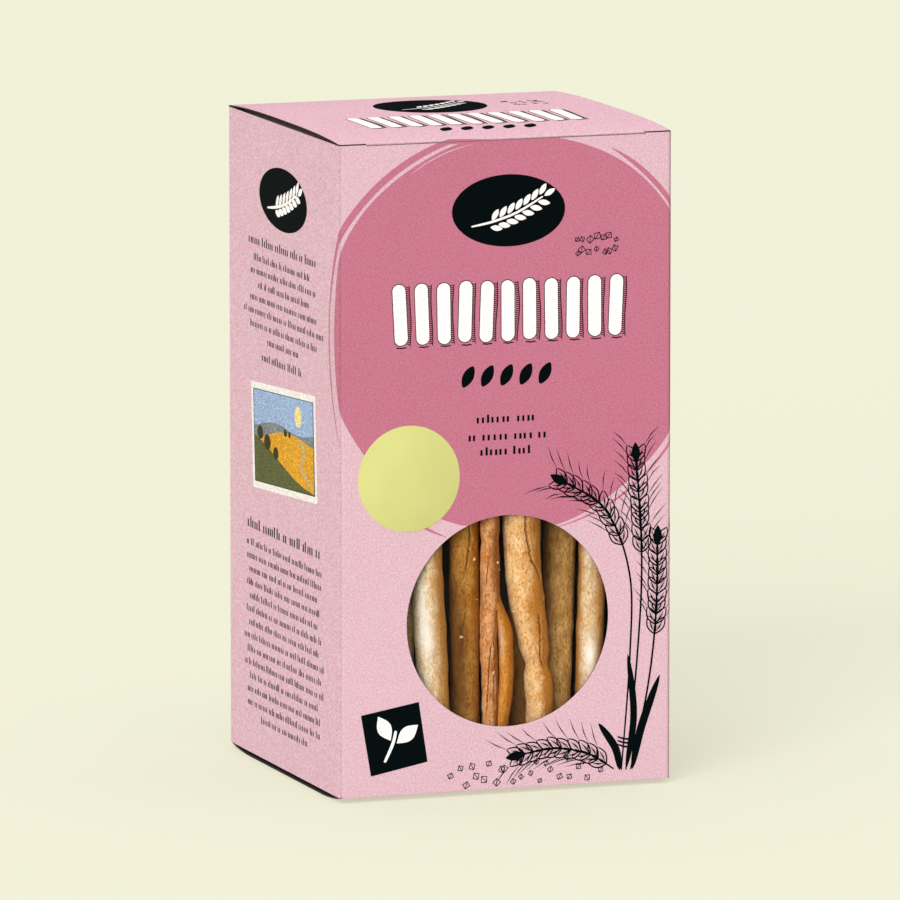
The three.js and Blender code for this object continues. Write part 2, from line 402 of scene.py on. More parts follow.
LID_FLAP = FRONT + BOARD + 0.35  # the outer face of the flap that tucks in behind the front wall
LID_SHORT = 0.15  # how far behind the front wall's face the lid stops beside its slits
LID_CORNER = 0.9
LID_ROWS = [
    LID_FLAP + CREASE + i / BOW_STEPS * (BACK - CREASE - LID_FLAP - CREASE) for i in range(BOW_STEPS + 1)
]


def lid_sheet():
    """From the top of the back wall, over the arched lid and down the tuck behind the front wall."""
    top = [(y, HEAD + lid_height(y)) for y in LID_ROWS]
    top[0] = (top[0][0], HEAD)
    top[-1] = (top[-1][0], HEAD)
    near_fold = fold((LID_FLAP + CREASE, HEAD - CREASE), CREASE, math.pi / 2)[1:]
    far_fold = fold((BACK - CREASE, HEAD - CREASE), CREASE, 0)[:-1]
    profile = [(LID_FLAP, HEAD - TUCK)] + near_fold[::-1] + top + far_fold[::-1]
    sheet = folded_sheet(profile, SIDE - ENDS_IN)
    edit(sheet)
    slit_at = SIDE - LOCK_SLIT
    bpy.ops.mesh.select_all(action="SELECT")
    bpy.ops.mesh.bisect(plane_co=(-slit_at * MM, 0, 0), plane_no=(1, 0, 0))
    bpy.ops.mesh.select_all(action="SELECT")
    bpy.ops.mesh.bisect(plane_co=(slit_at * MM, 0, 0), plane_no=(1, 0, 0))

    def at_an_end(spot):
        return abs(spot.x) > slit_at * MM and spot.y < (LID_FLAP + CREASE) * MM

    pick(sheet, "faces", lambda f: at_an_end(f.calc_center_median()))
    bpy.ops.mesh.delete(type="FACE")
    pick(sheet, "edges", lambda e: e.is_boundary and abs(middle(e).x) > slit_at
         and abs(middle(e).y - LID_FLAP - CREASE) < 0.01)
    over = LID_FLAP + CREASE - FRONT - LID_SHORT
    bpy.ops.mesh.extrude_region_move(TRANSFORM_OT_translate={"value": (0, -over * MM, 0)})

    def front_corner(vertex):
        x, y, z = vertex.co / MM
        return vertex.is_boundary and abs(x) > SIDE - 1 and y < FRONT + 1 and z > HEAD - 2

    pick(sheet, "verts", front_corner)
    bpy.ops.mesh.bevel(offset=LID_CORNER * MM, segments=3, affect="VERTICES")
    return done(sheet, "lid")


def base_sheet():
    """From the foot of the front wall, under the sagging base and up the tuck behind the back wall."""
    flap_y = BACK - BOARD - 0.1
    near_y, far_y = FRONT + CREASE, flap_y - CREASE
    profile = fold((near_y, FOOT + CREASE), CREASE, math.pi)[:-1]
    for i in range(BOW_STEPS + 1):
        share = 2 * i / BOW_STEPS - 1
        z = FOOT - (SAG + PRESSED_FLAT) * bow(share, BASE_POWER)
        profile.append((near_y + (share + 1) / 2 * (far_y - near_y), max(z, 0)))
    profile += fold((far_y, FOOT + CREASE), CREASE, -math.pi / 2)[1:]
    profile.append((flap_y, FOOT + TUCK))
    return done(folded_sheet(profile, SIDE - ENDS_IN), "base")


DUST_FLAP_END = 1.5  # from the carton's middle
DUST_FLAP_CLEAR = 4  # how much shorter than the side wall its fold is
DUST_FLAP_NARROWS = 0.86
DUST_FLAP_IN = 1.2  # from the creases of the lid and of the base


def dust_flap(side, level):
    """A flap folded in from a side wall, narrower at its free end."""
    fold_at, free_end = SIDE - BOARD, DUST_FLAP_END
    bpy.ops.mesh.primitive_plane_add(size=1, location=(side * (fold_at + free_end) / 2 * MM, 0, level * MM))
    flap = bpy.context.object
    flap.scale = Vector((fold_at - free_end, DEPTH - DUST_FLAP_CLEAR, 1)) * MM
    place(flap)
    edit(flap)
    pick(flap, "edges", lambda e: abs(abs(middle(e).x) - free_end) < 0.1)
    bpy.ops.transform.resize(value=(1, DUST_FLAP_NARROWS, 1))
    return done(flap, "dust_flap")


def carton():
    sheets = [wall_sheet(), lid_sheet(), base_sheet()]
    for side in (-1, 1):
        sheets += [dust_flap(side, HEAD - DUST_FLAP_IN), dust_flap(side, FOOT + DUST_FLAP_IN)]
    for sheet in sheets[1:3]:
        edit(sheet)
        bpy.ops.mesh.select_all(action="SELECT")
        bpy.ops.mesh.normals_make_consistent(inside=False)
        deselect()
    for sheet in sheets:
        for material in (PINK, DARKENED_INSIDE, EDGE):
            sheet.data.materials.append(material)
        thickness = dict(thickness=BOARD * MM, offset=-1, use_even_offset=True)
        apply_modifier(sheet, "SOLIDIFY", material_offset=1, material_offset_rim=2, **thickness)
    board = joined("carton_board", *sheets)
    choose(board)
    bpy.ops.object.shade_smooth_by_angle(angle=math.radians(30))
    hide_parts("carton")
    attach(board, "root")
    return board


carton()


# ---- The film and the sticker ----

def clear_film():
    """Thin film that mirrors a little, and more at a low angle."""
    material, nodes, surface = shader("clear_film", Metallic=1.0, Roughness=0.12)
    surface.inputs["Base Color"].default_value = (0.9, 0.92, 0.95, 1)
    fresnel = nodes.add("ShaderNodeFresnel", {"IOR": 1.4}).outputs[0]
    ripple = nodes.noise(nodes.place((1, 1, 0.6)), 0.06, 1.0)
    share = nodes.math("MULTIPLY", fresnel, nodes.range(ripple, 0.3, 0.7, 0.12, 0.3))
    nodes.tree.links.new(share, surface.inputs["Alpha"])
    bump = nodes.bump(ripple, 0.3, 0.4)
    nodes.tree.links.new(bump, surface.inputs["Normal"])
    return material


STICKER_SIDES = 128
RIM_EASED = 0.4  # of a plate's thickness


def round_plate(name, low, high, sides, material):
    """A round plate that fills a box from front to back, with its front rim eased."""
    centre = (low + high) / 2
    bpy.ops.mesh.primitive_cylinder_add(
        vertices=sides,
        radius=(high.x - low.x) / 2 * MM,
        depth=(high.y - low.y) * MM,
        location=centre * MM,
        rotation=(math.pi / 2, 0, 0),
    )
    plate = bpy.context.object
    place(plate)
    edit(plate)
    near = low.y + 0.01
    pick(plate, "edges", lambda e: middle(e).y < near and len(e.link_faces) == 2)
    bpy.ops.mesh.bevel(offset=(high.y - low.y) * RIM_EASED * MM, segments=2)
    done(plate, name, material)
    choose(plate)
    bpy.ops.object.shade_smooth_by_angle(angle=math.radians(50))
    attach(plate, "root")
    return plate


def sticker_paper():
    material, nodes, surface = shader("yellow_sticker_paper", Roughness=0.6)
    surface.inputs["Specular IOR Level"].default_value = 0.15
    place = nodes.place((1, 1, 1))
    cloud = nodes.noise(place, 0.08, 2.0)
    grain = nodes.noise(place, 3.0, 2.0)
    tone = nodes.mix(nodes.range(cloud, 0.3, 0.7), linear(209, 208, 133), linear(214, 213, 139))
    nodes.tree.links.new(tone, surface.inputs["Base Color"])
    nodes.tree.links.new(nodes.bump(grain, 0.12, 0.03), surface.inputs["Normal"])
    return material


def film_and_sticker():
    film = round_plate("film", film_low, film_high, WINDOW_SIDES, clear_film())
    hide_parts("window_film")
    sticker = round_plate("yellow_sticker", sticker_low, sticker_high, STICKER_SIDES, sticker_paper())
    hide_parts("round_sticker")


film_and_sticker()


# ---- The breadsticks ----

FLOUR = linear(240, 226, 204)
# painted highlight: the near-white of the glints on the crust
HIGHLIGHT_WHITE = linear(255, 248, 238)
PAINTED_SHADE = linear(66, 30, 6)  # painted shade, down in creases, furrows and pits and on the shaded patches


def crust_group():
    """Baked dough: streaks along the stick, a deeper brown where baking coloured it and as painted shade on
    its sides, bran, flour, painted highlights, and painted shade in its creases.
    """
    colours = ("Pale", "Mid", "Toasted_and_shaded", "Bran")
    inputs = {key: "NodeSocketColor" for key in colours} | {"Flour": "NodeSocketFloat"}
    nodes, given, out = group("crust", inputs, {"Color": "NodeSocketColor", "Height": "NodeSocketFloat"})
    along = nodes.place((1, 1, 0.34))
    evenly = nodes.place((1, 1, 1))
    streaks = nodes.noise(along, 0.75, 4.0, 0.6)
    clouds = nodes.noise(evenly, 0.2, 3.0, 0.55)
    grain = nodes.noise(evenly, 1.6, 4.0, 0.65)
    dots = nodes.noise(nodes.place((1, 1, 0.55)), 1.8, 2.0, 0.6)
    freckles = nodes.noise(nodes.place((1, 1, 0.7)), 1.25, 3.0, 0.6)
    dusting = nodes.noise(evenly, 0.9, 5.0, 0.7)
    toast_and_side_shade = nodes.add("ShaderNodeAttribute", attribute_name="toast_and_side_shade").outputs["Fac"]
    crease = nodes.add("ShaderNodeAttribute", attribute_name="crease").outputs["Fac"]
    blend = nodes.math("ADD", nodes.math("MULTIPLY", streaks, 0.6), nodes.math("MULTIPLY", clouds, 0.6))
    tone = nodes.mix(nodes.range(blend, 0.44, 0.76), given["Pale"], given["Mid"])
    # Painted shade: this share also darkens a stick's sides to a deep brown.
    browner_and_shaded = nodes.math("ADD", toast_and_side_shade, nodes.math("MULTIPLY", nodes.math("SUBTRACT", streaks, 0.5), 0.65))
    browner_and_shaded = nodes.math("ADD", browner_and_shaded, nodes.math("MULTIPLY", nodes.math("SUBTRACT", clouds, 0.5), 0.4))
    tone = nodes.mix(nodes.range(browner_and_shaded, 0.1, 0.9, 0, 0.94), tone, given["Toasted_and_shaded"])
    spots = nodes.math("MULTIPLY", nodes.range(dots, 0.53, 0.66), 0.66)
    tone = nodes.mix(spots, tone, given["Bran"])
    freckled = nodes.add("ShaderNodeVectorMath", {0: tone, 1: (0.72, 0.5, 0.3)}, operation="MULTIPLY")
    speckle = nodes.math("MULTIPLY", nodes.range(freckles, 0.5, 0.7), 0.6)
    tone = nodes.mix(speckle, tone, freckled.outputs[0])
    fine = nodes.range(grain, 0.3, 0.7, 0.82, 1.2)
    tone = nodes.add("ShaderNodeVectorMath", {0: tone, 3: fine}, operation="SCALE").outputs[0]
    floury = nodes.math("MULTIPLY", nodes.range(dusting, 0.62, 0.76), given["Flour"])
    tone = nodes.mix(floury, tone, FLOUR)
    # Painted highlights: the highlight patches whiten the crust.
    painted_highlights = nodes.add("ShaderNodeAttribute", attribute_name="painted_highlights").outputs["Fac"]
    highlight_share = nodes.math("MULTIPLY", painted_highlights, nodes.range(grain, 0.25, 0.6, 0.75, 1.0))
    tone = nodes.mix(highlight_share, tone, HIGHLIGHT_WHITE)
    # Painted shade: creases, furrows, pits and shaded patches darken towards a dark brown.
    tone = nodes.mix(nodes.math("MULTIPLY", crease, 0.85), tone, PAINTED_SHADE)
    nodes.tree.links.new(tone, out["Color"])
    rough = nodes.math("ADD", nodes.math("MULTIPLY", streaks, 0.5), nodes.math("MULTIPLY", grain, 0.35))
    nodes.tree.links.new(nodes.math("ADD", rough, nodes.math("MULTIPLY", dusting, 0.2)), out["Height"])
    return nodes.tree


CRUST = crust_group()


def crust(name, pale, mid, toasted_and_shaded, bran, flour):
    material, nodes, surface = shader(name, Roughness=0.46)
    surface.inputs["Specular IOR Level"].default_value = 0.08
    colours = {"Pale": linear(*pale), "Mid": linear(*mid), "Toasted_and_shaded": linear(*toasted_and_shaded), "Bran": linear(*bran)}
    dough = nodes.add("ShaderNodeGroup", node_tree=CRUST)
    for key, value in (colours | {"Flour": flour}).items():
        dough.inputs[key].default_value = value
    nodes.tree.links.new(dough.outputs["Color"], surface.inputs["Base Color"])
    bump = nodes.bump(dough.outputs["Height"], 0.5, 0.25)
    nodes.tree.links.new(bump, surface.inputs["Normal"])
    return material


CRUSTS = {  # each crust's colours where it is pale, evenly baked, and deep brown from baking and from painted side shade, its bran, and its flour
    "pale": crust("crust_pale", (250, 236, 210), (228, 194, 142), (184, 124, 44), (188, 124, 62), 0.4),
    "soft": crust("crust_soft", (238, 220, 188), (220, 182, 132), (194, 132, 56), (184, 120, 60), 0.4),
    "golden": crust("crust_golden", (255, 219, 168), (243, 184, 110), (186, 116, 24), (176, 98, 36), 0.3),
    "brown": crust("crust_brown", (210, 156, 76), (172, 112, 32), (154, 86, 2), (96, 46, 6), 0.25),
    "red": crust("crust_reddish", (236, 178, 126), (198, 124, 56), (152, 82, 10), (116, 52, 12), 0.45),
    "strand": crust("crust_strand", (222, 160, 74), (200, 122, 22), (170, 98, 6), (150, 84, 20), 0.3),
    "tan": crust("crust_tan", (230, 184, 114), (210, 160, 88), (98, 60, 8), (120, 76, 30), 0.2),
    # darker colours, partly painted shade for the deep inside of the carton
    "behind": crust("crust_behind", (170, 114, 38), (146, 90, 18), (92, 50, 4), (90, 46, 8), 0.1),
    # very pale colours that paint light onto the far left stick, which the window's rim shades
    "far": crust("crust_far", (255, 228, 164), (250, 208, 132), (216, 162, 90), (180, 120, 60), 0.1),
}

STICK_FOOT = 1.6  # above the foot of the front wall, as every height below
STICK_SIDES = 144
CRUST_PER_DEGREE = 0.08  # about how much crust a degree is
SHOWS_FROM, SHOWS_TO = 17, 89  # heights between which a stick stands behind the window
WINDOW_STEP = 0.3  # between a stick's rings behind the window
HIDDEN_STEP = 3.0
END_ROUNDING = 1.3  # of the radius
WANDER, WANDER_OVER = 0.12, 17  # how far a stick strays sideways, and over what height
LUMPS = ((2, 19, 0.025, 1), (3, -13, 0.02, 2), (0, 7, 0.02, 5))  # lobes, height, share, phase
PHASE_STEP = 1.3  # between one stick's lumps and the next one's
KNOBBLY = 0.7  # how knobbly a stick is that doesn't say it
SWELLINGS, KNOBS, RIDGES, GRAIN = 0.22, 0.11, 0.09, 0.035  # how far each stands out of a crust
FURROW_DEEP, FURROW_DARK = 0.11, 0.34  # how dark the painted shade in a furrow is; in a crease it is 1
PIT_DEEP, PIT_DARK = 0.16, 0.26

# The sticks from left to right, each with its middle line's x and how far that stands into the carton.
# sway, bows, widens and pinch start with how much, at what height and over how much of the stick: it leans
# to either side of the height, bends aside there, is thicker above it, or is thinner there. The fourth
# number of widens is how much further in the stick then stands. A strand is apart below the height where
# it joins, and half way back below the one where it rejoins.
# Each crease runs through points of (degrees from the front, height), with its width and depth, and is
# darkened with painted shade. A crust turns deep brown, partly as painted shade on its sides, to the left of
# one angle and to the right of another: left, over, right, over, in degrees. Each patch lies at a turn and a
# height, with its reaches and its strength: scorched ones brown the crust, shaded ones are painted shade, and
# the whitened ones are painted highlights.
STICKS = [
    dict(node="breadstick_far_left", crust="far", x=-28.8, into=15.5, radius=4.3, length=184,
         browned_and_side_shaded=(-90, 35, 30, 60)),
    dict(node="breadstick_pale_left", crust="pale", x=-22.3, into=6.8, radius=5.0, length=189,
         sway=(-1.9, 52, 34), browned_and_side_shaded=(-120, 35, -42, 76),
         painted_highlights=[(-29, 47, 22, 6, 0.8), (-44, 57, 20, 9, 0.7)]),
    dict(node="breadstick_brown", crust="brown", x=-10.3, into=9.0, radius=4.55, length=186,
         sway=(-0.5, 52, 30), browned_and_side_shaded=(-62, 35, -2, 55), knobbly=1.5,
         scorched=[(-15, 47, 40, 9, 0.4), (20, 56, 20, 7, 0.4), (-20, 86, 30, 5, 0.4)],
         shaded=[(-60, 42, 44, 24, 1.3), (-96, 76, 26, 30, 0.5), (10, 30, 90, 15, 0.3)],
         creases=[
             ([(-4, 90), (-1, 82.7), (10, 77.4), (-3, 71.4), (-15, 66)], 0.8, 0.7),
             ([(-50, 62), (-56, 59.6), (-78, 54)], 0.9, 0.7),
             ([(-14, 56), (-16, 53.6), (-34, 47.7), (-28, 43)], 0.8, 0.6)]),
    dict(node="breadstick_split", crust="red", x=-3.4, into=5.2, radius=2.6, length=182,
         widens=(0.3, 52, 6, 0), bows=(-0.45, 44, 9), browned_and_side_shaded=(-100, 35, -10, 50), knobbly=1.8,
         pinch=(0.35, 76.7, 2.2), scorched=[(4, 74, 36, 10, 0.45), (-30, 28, 30, 4, 0.3)],
         shaded=[(12, 70, 26, 9, 0.45), (-80, 61, 24, 6, 0.5)],
         creases=[
             ([(-34, 70), (-38, 66.5), (-45, 64.2), (-60, 60)], 0.6, 0.6),
             ([(58, 64), (35, 57.3), (33, 50.4), (10, 43)], 0.6, 0.5),
             ([(4, 45.5), (-7, 43.1), (-26, 35.4), (-44, 22)], 0.7, 0.7),
             ([(22, 38), (12, 31), (16, 24)], 0.6, 0.5)],
         strand=dict(x=2.1, into=4.6, radius=2.15, joins=66, over=12, rejoins=22, browned_and_side_shaded=(-140, 35, -40, 70),
                     painted_highlights=[(-52, 46, 20, 6, 0.3)], knobbly=1.4)),
    dict(node="breadstick_behind", crust="behind", x=11.1, into=17, radius=4.2, length=187,
         browned_and_side_shaded=(-60, 35, 0, 50), knobbly=1.0),
    dict(node="breadstick_pinched", crust="golden", x=10.45, into=6.4, radius=4.3, length=190,
         sway=(-3.05, 50, 18), widens=(1.6, 51, 11, 0.9), pinch=(1.0, 37, 2.8), browned_and_side_shaded=(-130, 35, -46, 82),
         knobbly=1.3, scorched=[
             (20, 57, 20, 5, 0.3), (4, 50, 30, 9, 0.3), (30, 38, 24, 4, 0.35), (22, 27, 26, 9, 0.4)],
         creases=[
             ([(-9, 92), (-8, 85.2), (-7, 78.3), (1, 73.9), (8, 69.5), (26, 67.2), (46, 62.5)], 0.6, 0.7),
             ([(40, 59), (46, 55.8)], 1.0, 1.1),
             ([(14, 54), (11, 47.6), (2, 43.2), (-1, 38.7), (24, 35.6)], 0.55, 0.6),
             ([(-30, 38.2), (0, 37.2), (30, 36.4)], 1.3, 0.3)]),
    dict(node="breadstick_tan", crust="tan", x=21.2, into=12.6, radius=5.05, length=188,
         sway=(1.2, 52, 30), browned_and_side_shaded=(64, 150, 120, 60)),
    dict(node="breadstick_pale_right", crust="soft", x=29.7, into=6.3, radius=4.2, length=185,
         sway=(0.6, 52, 30), browned_and_side_shaded=(-42, 38, -32, 58), shaded=[(-100, 52, 22, 60, 0.5)],
         painted_highlights=[(-18, 39.5, 24, 5, 0.95), (-32, 72, 18, 4, 0.6)]),
]


def stick_line(stick, phase, z):
    """A stick's middle line and radius at a height: x, into and radius."""
    x = stick["x"] + WANDER * math.sin(z / WANDER_OVER + phase)
    into, radius = stick["into"], stick["radius"]
    if "sway" in stick:
        by, at, over = stick["sway"]
        x += by * math.tanh((z - at) / over)
    if "bows" in stick:
        by, at, over = stick["bows"]
        x += by * math.exp(-(((z - at) / over) ** 2))
    if "widens" in stick:
        by, at, over, inwards = stick["widens"]
        share = (1 + math.tanh((z - at) / over)) / 2
        radius += by * share
        into += inwards * share
    if "pinch" in stick:
        by, at, over = stick["pinch"]
        radius -= by * math.exp(-(((z - at) / over) ** 2))
    return x, into, radius


def strand_line(stick, phase, z):
    """The same for the thinner strand of the split stick."""
    strand = stick["strand"]
    x, into, _ = stick_line(stick, phase, z)
    out = (1 - math.tanh((z - strand["joins"] + strand["over"]) / (strand["over"] / 2))) / 2
    home = (1 - math.tanh((z - strand["rejoins"]) / strand["over"])) / 2
    away = out * (1 - home / 2)
    return (
        x + away * (strand["x"] - stick["x"]),
        into + away * (strand["into"] - stick["into"]),
        strand["radius"],
    )


def ring_heights(low, high, rounding):
    """Heights of a stick's rings, close together in its rounded ends and behind the window."""
    ends = [0.004, 0.03, 0.1, 0.22, 0.4, 0.65]
    heights = [low + share * rounding for share in ends]
    z = low + rounding
    while z < high - rounding - WINDOW_STEP:
        heights.append(z)
        z += WINDOW_STEP if SHOWS_FROM < z < SHOWS_TO else HIDDEN_STEP
    return heights + [high - share * rounding for share in reversed(ends)]


def crease_depth(creases, turn, z):
    """How far the crust is pressed in by creases at a turn from the front and a height, and how dark their
    painted shade is.
    """
    deep = dark = 0.0
    for line, width, depth in creases:
        if not line[-1][1] <= z <= line[0][1]:
            continue
        for (turn_a, z_a), (turn_b, z_b) in zip(line, line[1:]):
            if z_b <= z <= z_a:
                centre = turn_b + (turn_a - turn_b) * (z - z_b) / (z_a - z_b)
        centre += 5 * mathutils.noise.noise(Vector((line[0][1], 0, z * 0.9)))
        ends = min(1, (line[0][1] - z) / 2.2, (z - line[-1][1]) / 2.2)
        ragged = 0.75 + 0.6 * mathutils.noise.noise(Vector((9, line[0][1], z * 0.8)))
        off = (turn - centre) * CRUST_PER_DEGREE / (width * ragged)
        lip = math.exp(-((off - 1.5) ** 2) * 1.2) - 0.4 * math.exp(-((off + 1.6) ** 2))
        deep += depth * ends * (math.exp(-(off ** 2) * 3.2) - 0.35 * lip)
        dark = max(dark, ends * math.exp(-(off ** 2) * 5))
    return deep, dark


def patches(spots, turn, z):
    """How much the patches cover at a turn and a height."""
    return sum(
        strength * math.exp(-(((turn - at) / wide) ** 2) - ((z - level) / tall) ** 2)
        for at, level, wide, tall, strength in spots
    )


def wrinkles(spot):
    """Fine furrows along the crust and small pits in it: how deep, and how dark their painted shade is."""
    noise = mathutils.noise.noise
    furrow = max(0, 1 - abs(noise(Vector((spot.x * 0.55, spot.y * 0.55, spot.z * 0.07)))) / 0.05)
    there = max(0, min(1, 3 * noise(spot * 0.21) + 0.1))
    pit = max(0, noise(Vector((spot.x * 1.9, spot.y * 1.9, spot.z * 1.3))) - 0.52) * 7
    pit = min(1, pit)
    deep = FURROW_DEEP * furrow * there + PIT_DEEP * pit
    dark = max(FURROW_DARK * furrow * there, PIT_DARK * pit)
    return deep, dark


def unevenness(spot, knobbly):
    """How far the dough stands out or in at a spot: broad swellings, knobs, ridges along it and grain."""
    noise = mathutils.noise.noise
    out = SWELLINGS * noise(spot * 0.16) + KNOBS * knobbly * noise(spot * 0.42)
    out += RIDGES * noise(Vector((spot.x * 0.9, spot.y * 0.9, spot.z * 0.14)))
    out += GRAIN * noise(spot * 1.7)
    return out


def rolled_dough(line_at, low, high, phase, marks):
    """A grid rolled up round a line and closed at both ends, lumpy, with its creases pressed in.

    Its marks are the creases, where it turns deep brown, partly as painted shade on its sides, and its
    patches of painted shade and of painted highlight.
    """
    rounding = END_ROUNDING * line_at((low + high) / 2)[2]
    heights = ring_heights(low, high, rounding)
    bpy.ops.mesh.primitive_grid_add(x_subdivisions=STICK_SIDES, y_subdivisions=len(heights) - 1, size=1)
    dough = bpy.context.object
    toast_and_side_shade = dough.data.attributes.new("toast_and_side_shade", "FLOAT", "POINT").data
    crease = dough.data.attributes.new("crease", "FLOAT", "POINT").data
    painted_highlights = dough.data.attributes.new("painted_highlights", "FLOAT", "POINT").data
    lines = [line_at(z) for z in heights]
    for vertex in dough.data.vertices:
        row = round((vertex.co.y + 0.5) * (len(heights) - 1))
        share = 2 * vertex.co.x
        z = heights[row]
        x, into, radius = lines[row]
        turn = math.pi * (0.55 * share + 0.45 * share ** 3)  # finer towards the window
        angle = turn - math.pi / 2
        near_end = min(1, (z - low) / rounding), min(1, (high - z) / rounding)
        ended = math.prod(math.sqrt(max(0, 1 - (1 - near) ** 2)) for near in near_end)
        lumpy = 1 + sum(
            part * math.sin(lobes * angle + z / height + turns * phase)
            for lobes, height, part, turns in LUMPS
        )
        degrees = math.degrees(turn)
        deep, dark = crease_depth(marks.get("creases", ()), degrees, z)
        around = Vector((math.cos(angle) * radius, math.sin(angle) * radius, 0))
        spot = Vector((around.x, around.y, z)) + Vector((40 * phase, 0, 0))
        bumps = unevenness(spot, marks.get("knobbly", KNOBBLY))
        fine_deep, fine_dark = wrinkles(spot)
        reach = ended * (radius * lumpy + bumps - deep - fine_deep)
        centre = Vector((x, FRONT + into, FOOT + z))
        vertex.co = (centre + Vector((math.cos(angle), math.sin(angle), 0)) * reach) * MM
        # Painted shade: past these angles a side of the stick turns deep brown.
        left, left_over, right, right_over = marks["browned_and_side_shaded"]
        browner_and_shaded = max(0, (left - degrees) / left_over, (degrees - right) / right_over)
        toast_and_side_shade[vertex.index].value = min(1, browner_and_shaded + patches(marks.get("scorched", ()), degrees, z))
        # Painted highlights, where the crust would glint.
        painted_highlights[vertex.index].value = min(1, patches(marks.get("painted_highlights", ()), degrees, z))
        # Painted shade, for the shaded patches and in creases, furrows and pits.
        shade = min(0.9, patches(marks.get("shaded", ()), degrees, z))
        crease[vertex.index].value = max(dark, fine_dark, shade)
    edit(dough)
    bpy.ops.mesh.select_all(action="SELECT")
    bpy.ops.mesh.remove_doubles(threshold=0.0005 * MM)
    bpy.ops.mesh.fill_holes(sides=0)
    bpy.ops.mesh.select_all(action="SELECT")
    bpy.ops.mesh.normals_make_consistent(inside=False)
    deselect()
    return dough


def breadsticks():
    for number, stick in enumerate(STICKS, start=1):
        phase = number * PHASE_STEP
        high = STICK_FOOT + stick["length"]
        dough = rolled_dough(lambda z: stick_line(stick, phase, z), STICK_FOOT, high, phase, stick)
        dough.data.materials.append(CRUSTS[stick["crust"]])
        if "strand" in stick:
            strand = stick["strand"]
            top = strand["joins"] + strand["over"]
            other_phase = phase + PHASE_STEP
            other = rolled_dough(lambda z: strand_line(stick, phase, z), STICK_FOOT, top, other_phase, strand)
            other.data.materials.append(CRUSTS["strand"])
            dough = joined("strands", dough, other)
        name = stick["node"].replace("breadstick", "baked")
        done(dough, name)
        choose(dough)
        bpy.ops.object.shade_smooth()
        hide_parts(stick["node"])
        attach(dough, "root")


breadsticks()

# Each crumb: its stick's number from the left, its turn from the front, its height and its radius.
CRUMBS = (
    (4, -14, 57.6, 0.5), (4, 6, 35.5, 0.5), (4, 34, 69.5, 0.36), (4, 52, 67.2, 0.3), (4, -8, 76, 0.26),
    (3, 24, 70.5, 0.46), (3, -32, 46.8, 0.5), (3, 40, 58, 0.24), (6, -74, 53.6, 0.6), (6, 14, 60, 0.2),
)


def crumbs():
    """Crumbs that cling to the sticks."""
    made = []
    for number, degrees, height, radius in CRUMBS:
        x, into, thick = stick_line(STICKS[number - 1], number * PHASE_STEP, height)
        turn = math.radians(degrees - 90)
        spot = Vector((x, FRONT + into, FOOT + height)) + Vector((math.cos(turn), math.sin(turn), 0)) * thick
        bpy.ops.mesh.primitive_ico_sphere_add(subdivisions=3, radius=radius * MM, location=spot * MM)
        crumb = bpy.context.object
        place(crumb)
        for vertex in crumb.data.vertices:
            away = vertex.co / MM - spot
            uneven = 1 + 0.7 * mathutils.noise.noise(vertex.co / MM * 0.7 / radius)
            vertex.co = (spot + away * uneven) * MM
        made.append(crumb)
    whole = done(joined("crumbs", *made), "crumbs", CRUSTS["soft"])
    choose(whole)
    bpy.ops.object.shade_smooth()
    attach(whole, "root")


crumbs()


# ---- The print ----

# Drawn flat, in millimetres. On the walls a point is its distance round them, 0 in the middle of the
# front, and its height. On the lid it is x and y. Each ink is then folded over the creases.

INKS = {  # how far each lies off the board, and its material
    "deep_pink": (0.02, DEEP_PINK),
    "white_card": (0.02, printed_paper("white_card_ink", linear(244, 243, 240), mottle=0.4)),
    "sky": (0.06, printed_paper("picture_sky_ink", linear(158, 184, 222), mottle=3.0)),
    "sun": (0.065, printed_paper("picture_sun_ink", linear(244, 226, 150), mottle=2.0)),
    "hill": (0.07, printed_paper("picture_hill_ink", linear(128, 138, 142), mottle=3.5)),
    "field": (0.08, printed_paper("picture_field_ink", linear(222, 164, 40), mottle=3.5)),
    "path": (0.088, printed_paper("picture_path_ink", linear(196, 176, 128), mottle=2.0)),
    "meadow": (0.095, printed_paper("picture_meadow_ink", linear(92, 98, 56), mottle=4.0)),
    "bushes": (0.105, printed_paper("picture_bushes_ink", linear(54, 54, 18), mottle=4.0)),
    "bare": (0.03, PINK),
    # painted shade: a dark line along the lid's front fold
    "fold_shade_line": (0.03, printed_paper("painted_fold_shade", linear(128, 102, 108))),
    "black": (0.045, printed_paper("black_ink", linear(3, 11, 14), roughness=0.7, mottle=0.3, specular=0.03)),
    "white": (0.075, printed_paper("white_ink", linear(255, 254, 255), mottle=0.15)),
}
SHEET_STEP = 0.0005  # keeps shapes of one ink that overlap from lying in one plane
SHAPES_A_SHEET = 30
WINDOW_MARGIN = 0.05  # between the print and the window's edge
PRINT_TOP = HEAD - 0.5
FRONT_SEED, WALLS_SEED, LID_SEED = 11, 5, 3  # of the random draws


def turned(points, x, y, degrees=0.0):
    """Points drawn round 0, turned and moved."""
    c, s = math.cos(math.radians(degrees)), math.sin(math.radians(degrees))
    return [(x + u * c - v * s, y + u * s + v * c) for u, v in points]


def oval(x, y, long, wide, degrees=0.0, tip=0.0, steps=20):
    """An outline whose ends are drawn out to points as tip nears 1."""
    points = []
    for i in range(steps):
        c, s = math.cos(2 * math.pi * i / steps), math.sin(2 * math.pi * i / steps)
        points.append((c * long / 2, s * wide / 2 * (1 - tip * c * c)))
    return turned(points, x, y, degrees)


